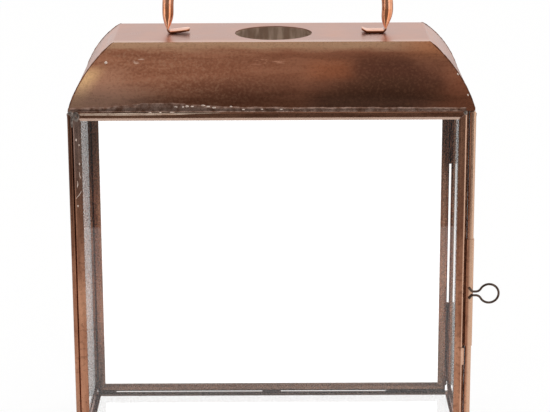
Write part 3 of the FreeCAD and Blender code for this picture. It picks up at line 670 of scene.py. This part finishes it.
def on_fold(degrees):
    """A point on the rounded fold of the rail below, so far round from the wall's face."""
    turn = math.radians(degrees)
    return FOLD_RADIUS * math.cos(turn) - FOLD_INSET, FOLD_RADIUS * (math.sin(turn) - 1)


def solder_run(name, marks, feet, place):
    """A skin of solder along one eaves, between its feet on the rail's fold and its marks on the roof;
    place turns along, out and up into the lantern's axes."""
    start, end = marks[0][0], marks[-1][0]
    count = round((end - start) / RUN_STEP)
    foot_out, foot_up = RUN_FOOT[-1]
    rows = []
    for step in range(count + 1):
        along = start + (end - start) * step / count
        # Coarse and fine noise; the fixed numbers pick separate parts of one pattern
        wander = noise.noise(Vector((along / 9, 3.1, 0))) + 0.5 * noise.noise(Vector((along / 3, 7.7, 0)))
        top = run_height(along, marks) + TOP_WANDER * wander
        foot = run_height(along, feet)
        row = [on_fold(foot), on_fold(foot + 0.4 * (90 - foot)), *RUN_FOOT]
        for share in RUN_SHARES:
            up = foot_up + (top - foot_up) * share
            row.append((foot_out * (1 - share) - FOOT_LEAN * max(up - LEAN_START, 0), up))
        last = len(row) - 1
        points = []
        for number, (out, up) in enumerate(row):
            lump = noise.noise(Vector((along / 4, up / 2.2, 1.7)))
            lump += 0.6 * noise.noise(Vector((along / 1.6, up, 9.2)))
            swell = math.sin(math.pi * number / last) * LUMP_SWELL * lump
            sink = EDGE_SINK if number in (0, last) else 0
            points.append(Vector(place(along, out + swell - sink, up)) * MM)
        rows.append(points)
    return skin(name, rows, closed=False)


def front_eaves(along, out, up):
    """From left to right along the front."""
    return along, -EAVES_Y - out, ROOF_FOOT + up


def back_eaves(along, out, up):
    """From right to left along the back."""
    return -along, EAVES_Y + out, ROOF_FOOT + up


def left_eaves(along, out, up):
    """From back to front along the left end."""
    return -EAVES_X - out, -along, ROOF_FOOT + up


FRONT_MARKS = [(-172, 3.7), (-147, 4.3), (-126, 5.8), (-104, 7.5), (-85, 7.2), (-48, 4.9), (-27, 4.0),
               (60, 3.4), (166, 3.0)]
FRONT_FEET = [(-172, 55), (-70, 58), (-20, 30), (166, 22)]
BACK_MARKS = [(-166, 3.6), (-90, 5.2), (-20, 3.6), (40, 4.4), (110, 6.0), (172, 3.6)]
BACK_FEET = [(-166, 30), (30, 55), (172, 35)]
LEFT_MARKS = [(-82, 3.6), (-30, 5.4), (10, 3.8), (82, 4.2)]
LEFT_FEET = [(-82, 50), (0, 30), (82, 45)]
solder_runs = [solder_run("front_eaves_solder", FRONT_MARKS, FRONT_FEET, front_eaves),
               solder_run("back_eaves_solder", BACK_MARKS, BACK_FEET, back_eaves),
               solder_run("left_eaves_solder", LEFT_MARKS, LEFT_FEET, left_eaves)]
for run in solder_runs:
    run.data.materials.append(flowed_solder)
    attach(run, "lantern")
print("faces of the solder runs:", [len(run.data.polygons) for run in solder_runs])

# %% [markdown]
# ## Solder beads
# Thinner beads close the hips of the roof and the corners of the frames. A bead follows a path, so Geometry
# Nodes sweep a ring along each path: the path is cut into short steps, noise makes the bead swell and
# shrink, and its ends taper. The same tree makes every bead, with its own sizes and finish.

# %% Bead tree
def bead_tree():
    """Geometry Nodes that sweep beads along paths."""
    tree = bpy.data.node_groups.new("solder bead", "GeometryNodeTree")
    face = tree.interface
    face.new_socket("Paths", in_out="INPUT", socket_type="NodeSocketGeometry")
    for name in ("Bead Radius", "Unevenness", "Lump Length", "Step", "Taper"):
        face.new_socket(name, in_out="INPUT", socket_type="NodeSocketFloat")
    face.new_socket("Finish", in_out="INPUT", socket_type="NodeSocketMaterial")
    face.new_socket("Beads", in_out="OUTPUT", socket_type="NodeSocketGeometry")
    given = add(tree, "NodeGroupInput").outputs
    path = add(tree, "GeometryNodeMeshToCurve", inputs={"Mesh": given["Paths"]})
    steps = add(tree, "GeometryNodeResampleCurve", {"mode": "LENGTH"}, {
        "Curve": path.outputs[0], "Length": given["Step"]})
    pitch = add(tree, "ShaderNodeMath", {"operation": "DIVIDE"}, {0: 1.0, 1: given["Lump Length"]})
    lumps = add(tree, "ShaderNodeTexNoise", inputs={"Scale": pitch.outputs[0], "Detail": 2.0})
    thinnest = add(tree, "ShaderNodeMath", {"operation": "SUBTRACT"}, {0: 1.0, 1: given["Unevenness"]})
    thickest = add(tree, "ShaderNodeMath", {"operation": "ADD"}, {0: 1.0, 1: given["Unevenness"]})
    swell = add(tree, "ShaderNodeMapRange", inputs={
        "Value": lumps.outputs[0], "From Min": 0.3, "From Max": 0.7,
        "To Min": thinnest.outputs[0], "To Max": thickest.outputs[0]})
    share = add(tree, "GeometryNodeSplineParameter").outputs["Factor"]
    rest = add(tree, "ShaderNodeMath", {"operation": "SUBTRACT"}, {0: 1.0, 1: share})
    nearest = add(tree, "ShaderNodeMath", {"operation": "MINIMUM"}, {0: share, 1: rest.outputs[0]})
    taper = add(tree, "ShaderNodeMapRange", {"interpolation_type": "SMOOTHSTEP"}, {
        "Value": nearest.outputs[0], "From Max": given["Taper"], "To Min": 0.35, "To Max": 1.0})
    size = add(tree, "ShaderNodeMath", {"operation": "MULTIPLY"}, {
        0: swell.outputs[0], 1: taper.outputs[0]})
    radius = add(tree, "ShaderNodeMath", {"operation": "MULTIPLY"}, {
        0: size.outputs[0], 1: given["Bead Radius"]})
    ring = add(tree, "GeometryNodeCurvePrimitiveCircle", inputs={"Resolution": 10, "Radius": 1.0})
    swept = add(tree, "GeometryNodeCurveToMesh", inputs={
        "Curve": steps.outputs[0], "Profile Curve": ring.outputs[0], "Scale": radius.outputs[0],
        "Fill Caps": True})
    soft = add(tree, "GeometryNodeSetShadeSmooth", inputs={"Geometry": swept.outputs[0]})
    real = add(tree, "GeometryNodeRealizeInstances", inputs={"Geometry": soft.outputs[0]})
    finished = add(tree, "GeometryNodeSetMaterial", inputs={
        "Geometry": real.outputs[0], "Material": given["Finish"]})
    add(tree, "NodeGroupOutput", inputs={"Beads": finished.outputs[0]})
    return tree


def solidify(name, start, tree, settings):
    """Run a tree on a mesh and keep the result as a plain mesh."""
    piece = bpy.data.objects.new(name, start)
    scene.collection.objects.link(piece)
    maker = piece.modifiers.new(tree.name, "NODES")
    maker.node_group = tree
    sockets = {item.name: item.identifier for item in tree.interface.items_tree if item.in_out == "INPUT"}
    for label, value in settings.items():
        maker[sockets[label]] = value
    evaluated = piece.evaluated_get(bpy.context.evaluated_depsgraph_get())
    mesh = bpy.data.meshes.new_from_object(evaluated)
    mesh.name = name
    piece.modifiers.clear()
    piece.data = mesh
    bpy.data.meshes.remove(start)
    return piece


beads = bead_tree()


def lay_beads(name, body, paths, finish, radius, unevenness, lump, step, taper):
    """Sweep beads along paths of points; points, radius, lumps and steps are in millimetres."""
    wires = bpy.data.meshes.new(name + "_paths")
    points, edges = [], []
    for path in paths:
        edges += [(number, number + 1) for number in range(len(points), len(points) + len(path) - 1)]
        points += [Vector(point) * MM for point in path]
    wires.from_pydata(points, edges, [])
    piece = solidify(name, wires, beads, {
        "Bead Radius": radius * MM, "Unevenness": unevenness, "Lump Length": lump * MM, "Step": step * MM,
        "Taper": taper, "Finish": finish})
    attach(piece, body)
    return piece


# %% Beads on the hips
# A hip lies as far in from the roof's end as from its front, which finds its outline in the measured slope
ON_HIP = 0.01
SAME_PLACE = 0.001
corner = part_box("roof_front")[0]
hip_edge = []
for vertex in nodes["roof_front"].data.vertices:
    in_from_end, in_from_front = vertex.co.x - corner.x, vertex.co.y - corner.y
    if abs(in_from_end - in_from_front) < ON_HIP * MM:
        hip_edge.append((in_from_end / MM, vertex.co.z / MM))
outer_edge = []
for inset, up in sorted(set(hip_edge)):
    if not any(other < inset - SAME_PLACE and height > up - SAME_PLACE for other, height in hip_edge):
        outer_edge.append((inset, up))
hips = []
for x_side in (-1, 1):
    for y_side in (-1, 1):
        hips.append([(x_side * (EAVES_X - inset), y_side * (EAVES_Y - inset), up)
                     for inset, up in outer_edge])
# The hip beads are solder seams, and their dark copper is painted shade along the hips' edges
hip_beads = lay_beads("hip_solder", "lantern", hips, hinge_copper,
                      radius=0.5, unevenness=0.35, lump=5, step=0.8, taper=0.1)
print(f"hips of {len(outer_edge)} points, {len(hip_beads.data.polygons)} faces")

# %% Pale solder bead along the front eaves, a painted highlight
# On the left half, a bead of solder lies under the roof; its pale colour paints the highlight along the top
# rail's fold, and its round edge catches the sky
FOLD_HIGHLIGHT_PATH = [(-167.5, -84.1, 318.2), (-120.0, -84.15, 318.3), (-95.0, -84.1, 318.4), (-70.0, -83.95, 318.5),
         (-40.0, -83.65, 318.6)]
fold_highlight_bead = lay_beads("fold_highlight_solder", "lantern", [FOLD_HIGHLIGHT_PATH], fold_highlight_solder,
                       radius=1.2, unevenness=0.08, lump=25, step=1.0, taper=0.04)
print(f"fold highlight bead of {len(fold_highlight_bead.data.polygons)} faces")

# %% Solder streaks on the front left stile
# The iron was dragged over the stile once, and left a hook and two short strokes
STREAKS = [
    [(-168.6, -85.0, 243.9), (-168.1, -85.02, 245.4), (-166.4, -85.02, 247.0), (-163.9, -85.0, 251.2)],
    [(-167.8, -85.0, 254.0), (-167.2, -85.02, 256.5), (-167.3, -85.0, 260.0)],
    [(-164.6, -85.0, 262.0), (-165.4, -85.02, 265.5), (-165.2, -85.0, 268.0)],
]
streaks = lay_beads("stile_streaks", "lantern", STREAKS, bright_solder,
                    radius=0.32, unevenness=0.6, lump=2, step=0.4, taper=0.2)
print(f"{len(STREAKS)} streaks of {len(streaks.data.polygons)} faces")

# %% Solder under the back wall
# Near the door, solder has filled the gap between the back wall and the base
SILL = [(109.0, 82.0, 4.6), (124.0, 82.1, 4.6), (137.0, 82.0, 4.6), (151.0, 82.1, 4.6)]
sill_bead = lay_beads("sill_solder", "lantern", [SILL], smoked_solder,
                      radius=0.62, unevenness=0.15, lump=6, step=0.8, taper=0.08)
print(f"sill bead of {len(sill_bead.data.polygons)} faces")

# %% Beads on the corners of the frames
# Points along a mitre: how far in from the corner, and how far below the wall's face
MITRE = [(1.0, 0.3), (2.2, 0.02), (5.0, 0.05), (7.3, 0.35)]


def mitre_paths(wall, across, outward):
    """Four diagonals on a wall's outer face, from each corner of its frame inwards."""
    low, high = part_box(f"{wall}_bottom_rail")[0] / MM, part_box(f"{wall}_top_rail")[1] / MM
    face = (high if outward > 0 else low)[1 - across]
    paths = []
    for x_side in (0, 1):
        for z_side in (0, 1):
            path = []
            for inset, sunk in MITRE:
                point = [0.0, 0.0, high.z - inset if z_side else low.z + inset]
                point[across] = high[across] - inset if x_side else low[across] + inset
                point[1 - across] = face - outward * sunk
                path.append(point)
            paths.append(path)
    return paths


MITRE_SIZES = {"radius": 0.4, "unevenness": 0.5, "lump": 2.5, "step": 0.4, "taper": 0.12}
wall_mitres = mitre_paths("front", 0, -1) + mitre_paths("back", 0, 1) + mitre_paths("left", 1, -1)
lay_beads("wall_mitre_solder", "lantern", wall_mitres, flowed_solder, **MITRE_SIZES)
lay_beads("door_mitre_solder", "door", mitre_paths("door", 1, 1), flowed_solder, **MITRE_SIZES)
print(f"{len(wall_mitres)} soldered corners on the walls")

# %% [markdown]
# ## Solder drops
# Drops that fell from the iron lie on the front slope and its eaves, on the front left stile and beside the
# right hip, and thicker dabs lie on three corners. They repeat, so Geometry Nodes set one small ball on each
# place, flatten it against the surface by the sizes kept with that place, and stir its outline with noise,
# so that no two drops match.

# %% Drop tree
def drop_tree():
    """Geometry Nodes that set a flattened ball on each place."""
    tree = bpy.data.node_groups.new("solder drops", "GeometryNodeTree")
    face = tree.interface
    face.new_socket("Places", in_out="INPUT", socket_type="NodeSocketGeometry")
    for name in ("Lump Length", "Lump Height"):
        face.new_socket(name, in_out="INPUT", socket_type="NodeSocketFloat")
    face.new_socket("Finish", in_out="INPUT", socket_type="NodeSocketMaterial")
    face.new_socket("Drops", in_out="OUTPUT", socket_type="NodeSocketGeometry")
    given = add(tree, "NodeGroupInput").outputs
    sizes = add(tree, "GeometryNodeInputNamedAttribute", {"data_type": "FLOAT_VECTOR"}, {
        "Name": "drop_sizes"})
    facing = add(tree, "GeometryNodeInputNamedAttribute", {"data_type": "FLOAT_VECTOR"}, {
        "Name": "drop_facing"})
    turned = add(tree, "FunctionNodeAlignRotationToVector", {"axis": "Z"}, {"Vector": facing.outputs[0]})
    ball = add(tree, "GeometryNodeMeshIcoSphere", inputs={"Radius": 1.0, "Subdivisions": 3})
    drops = add(tree, "GeometryNodeInstanceOnPoints", inputs={
        "Points": given["Places"], "Instance": ball.outputs["Mesh"], "Rotation": turned.outputs[0],
        "Scale": sizes.outputs[0]})
    real = add(tree, "GeometryNodeRealizeInstances", inputs={"Geometry": drops.outputs[0]})
    pitch = add(tree, "ShaderNodeMath", {"operation": "DIVIDE"}, {0: 1.0, 1: given["Lump Length"]})
    lumps = add(tree, "ShaderNodeTexNoise", inputs={"Scale": pitch.outputs[0], "Detail": 1.0})
    height = add(tree, "ShaderNodeMapRange", inputs={
        "Value": lumps.outputs[0], "From Min": 0.3, "From Max": 0.7,
        "To Min": 0.0, "To Max": given["Lump Height"]})
    normal = add(tree, "GeometryNodeInputNormal")
    shift = add(tree, "ShaderNodeVectorMath", {"operation": "SCALE"}, {
        0: normal.outputs[0], "Scale": height.outputs[0]})
    stirred = add(tree, "GeometryNodeSetPosition", inputs={
        "Geometry": real.outputs[0], "Offset": shift.outputs[0]})
    soft = add(tree, "GeometryNodeSetShadeSmooth", inputs={"Geometry": stirred.outputs[0]})
    finished = add(tree, "GeometryNodeSetMaterial", inputs={
        "Geometry": soft.outputs[0], "Material": given["Finish"]})
    add(tree, "NodeGroupOutput", inputs={"Drops": finished.outputs[0]})
    return tree


# %% Drops
# Each drop has a place, the way that its surface faces, and half its length, height and thickness
EAVES_FACE = (0, -0.95, 0.31)
SLOPE_FACE = (0, -0.74, 0.67)
HIP_FACE = (0.5, -0.55, 0.67)
WALL_FACE = (0, -1, 0)
BACK_FACE = (0, 1, 0)
DROPS = [
    ((-142.0, -63.1, 358.9), SLOPE_FACE, (1.3, 1.3, 0.35)),
    ((159.5, -70.6, 349.3), HIP_FACE, (0.9, 1.2, 0.4)),
    ((167.6, -79.8, 332.9), HIP_FACE, (0.7, 1.1, 0.4)),
    ((-103.8, -84.4, 319.5), EAVES_FACE, (1.4, 0.5, 0.4)),
    ((-95.2, -84.3, 319.7), EAVES_FACE, (1.0, 0.5, 0.4)),
    ((-85.0, -84.3, 319.8), EAVES_FACE, (2.0, 0.5, 0.4)),
    ((-81.6, -83.2, 324.2), EAVES_FACE, (1.4, 0.7, 0.4)),
    ((-75.6, -83.2, 324.1), EAVES_FACE, (0.9, 0.6, 0.4)),
    ((-72.2, -83.0, 324.7), EAVES_FACE, (1.6, 0.8, 0.45)),
    ((-67.9, -83.1, 324.4), EAVES_FACE, (1.3, 0.6, 0.4)),
    ((-58.6, -82.7, 325.3), EAVES_FACE, (1.8, 0.6, 0.4)),
    ((-54.3, -83.1, 324.4), EAVES_FACE, (1.4, 0.6, 0.4)),
    ((-49.2, -83.4, 323.5), EAVES_FACE, (1.7, 0.7, 0.4)),
    ((-34.7, -83.1, 324.3), EAVES_FACE, (1.1, 0.5, 0.35)),
    ((-24.5, -83.9, 321.9), EAVES_FACE, (1.5, 0.4, 0.35)),
    ((-8.3, -83.9, 322.1), EAVES_FACE, (1.2, 0.4, 0.35)),
    ((8.0, -83.9, 321.9), EAVES_FACE, (1.6, 0.4, 0.35)),
    ((18.2, -83.9, 322.0), EAVES_FACE, (1.0, 0.4, 0.35)),
    ((-167.5, -85.0, 296.0), WALL_FACE, (0.5, 1.0, 0.25)),
    ((-165.1, -85.0, 291.6), WALL_FACE, (0.4, 0.7, 0.25)),
    ((-165.2, -85.0, 274.9), WALL_FACE, (0.4, 1.0, 0.25)),
    ((-167.6, -85.0, 237.5), WALL_FACE, (0.6, 0.9, 0.25)),
]
# Thicker dabs hold the upper front corners together, and one has run below the lower hinge
DABS = [
    ((-167.0, -84.8, 316.2), WALL_FACE, (2.8, 4.0, 0.45)),
    ((-171.6, -84.0, 318.6), WALL_FACE, (2.6, 2.2, 1.2)),
    ((-170.8, -84.6, 311.5), WALL_FACE, (1.0, 4.5, 0.7)),
    ((165.6, -84.6, 318.3), WALL_FACE, (1.7, 1.9, 0.6)),
    ((167.2, 86.1, 10.6), BACK_FACE, (1.9, 2.3, 0.7)),
]
drops_on = drop_tree()


def set_drops(name, listed, lump, finish):
    """Set a drop on each listed place."""
    places = bpy.data.meshes.new(name + "_places")
    places.from_pydata([Vector(place) * MM for place, facing, sizes in listed], [], [])
    facings = places.attributes.new("drop_facing", "FLOAT_VECTOR", "POINT")
    shapes = places.attributes.new("drop_sizes", "FLOAT_VECTOR", "POINT")
    for number, (place, facing, sizes) in enumerate(listed):
        facings.data[number].vector = facing
        shapes.data[number].vector = Vector(sizes) * MM
    drops = solidify(name, places, drops_on, {
        "Lump Length": 4 * lump * MM, "Lump Height": lump * MM, "Finish": finish})
    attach(drops, "lantern")
    print(f"{name}: {len(listed)} drops, {len(drops.data.polygons)} faces")


set_drops("solder_drops", DROPS, 0.25, bright_solder)
set_drops("corner_solder", DABS, 0.5, smoked_solder)

# %% [markdown]
# ## Door stop, painted shade beside the door
# A strip of dark copper behind the front right stile keeps light out of the gap beside the door and stands
# in for the shade there: its dark finish is painted shade. Its free edge is hemmed: the sheet is folded back
# on itself, so that the edge is round, twice as thick and almost touches the door. Its outline is one closed
# ring of points, joined to the same ring at the top.

# %% Door stop, painted shade beside the door
STOP_EDGE = 162.9
STOP_FRONT = -80.8
STOP_REAR = -80.3
HEM_X = 168.62
HEM_RADIUS = 0.5
HEM_END = 166.8
HEM_REAR = -79.8
HEM_STEPS = 8
outline = [(STOP_EDGE, STOP_FRONT)]
for step in range(HEM_STEPS + 1):
    turn = math.radians(-90 + 180 * step / HEM_STEPS)
    outline.append((HEM_X + HEM_RADIUS * math.cos(turn), STOP_REAR + HEM_RADIUS * math.sin(turn)))
outline += [(HEM_END, HEM_REAR), (HEM_END, STOP_REAR), (STOP_EDGE, STOP_REAR)]
foot, head = (corner.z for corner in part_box("door_stop"))
stop = skin("hemmed_gap_shade_strip", [[Vector((x * MM, y * MM, up)) for x, y in outline] for up in (foot, head)],
            closed=True)
stop.data.set_sharp_from_angle(angle=math.radians(40))
stop.data.materials.append(hinge_copper)
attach(stop, "lantern")
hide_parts("door_stop")
print(f"stop outline of {len(outline)} points")
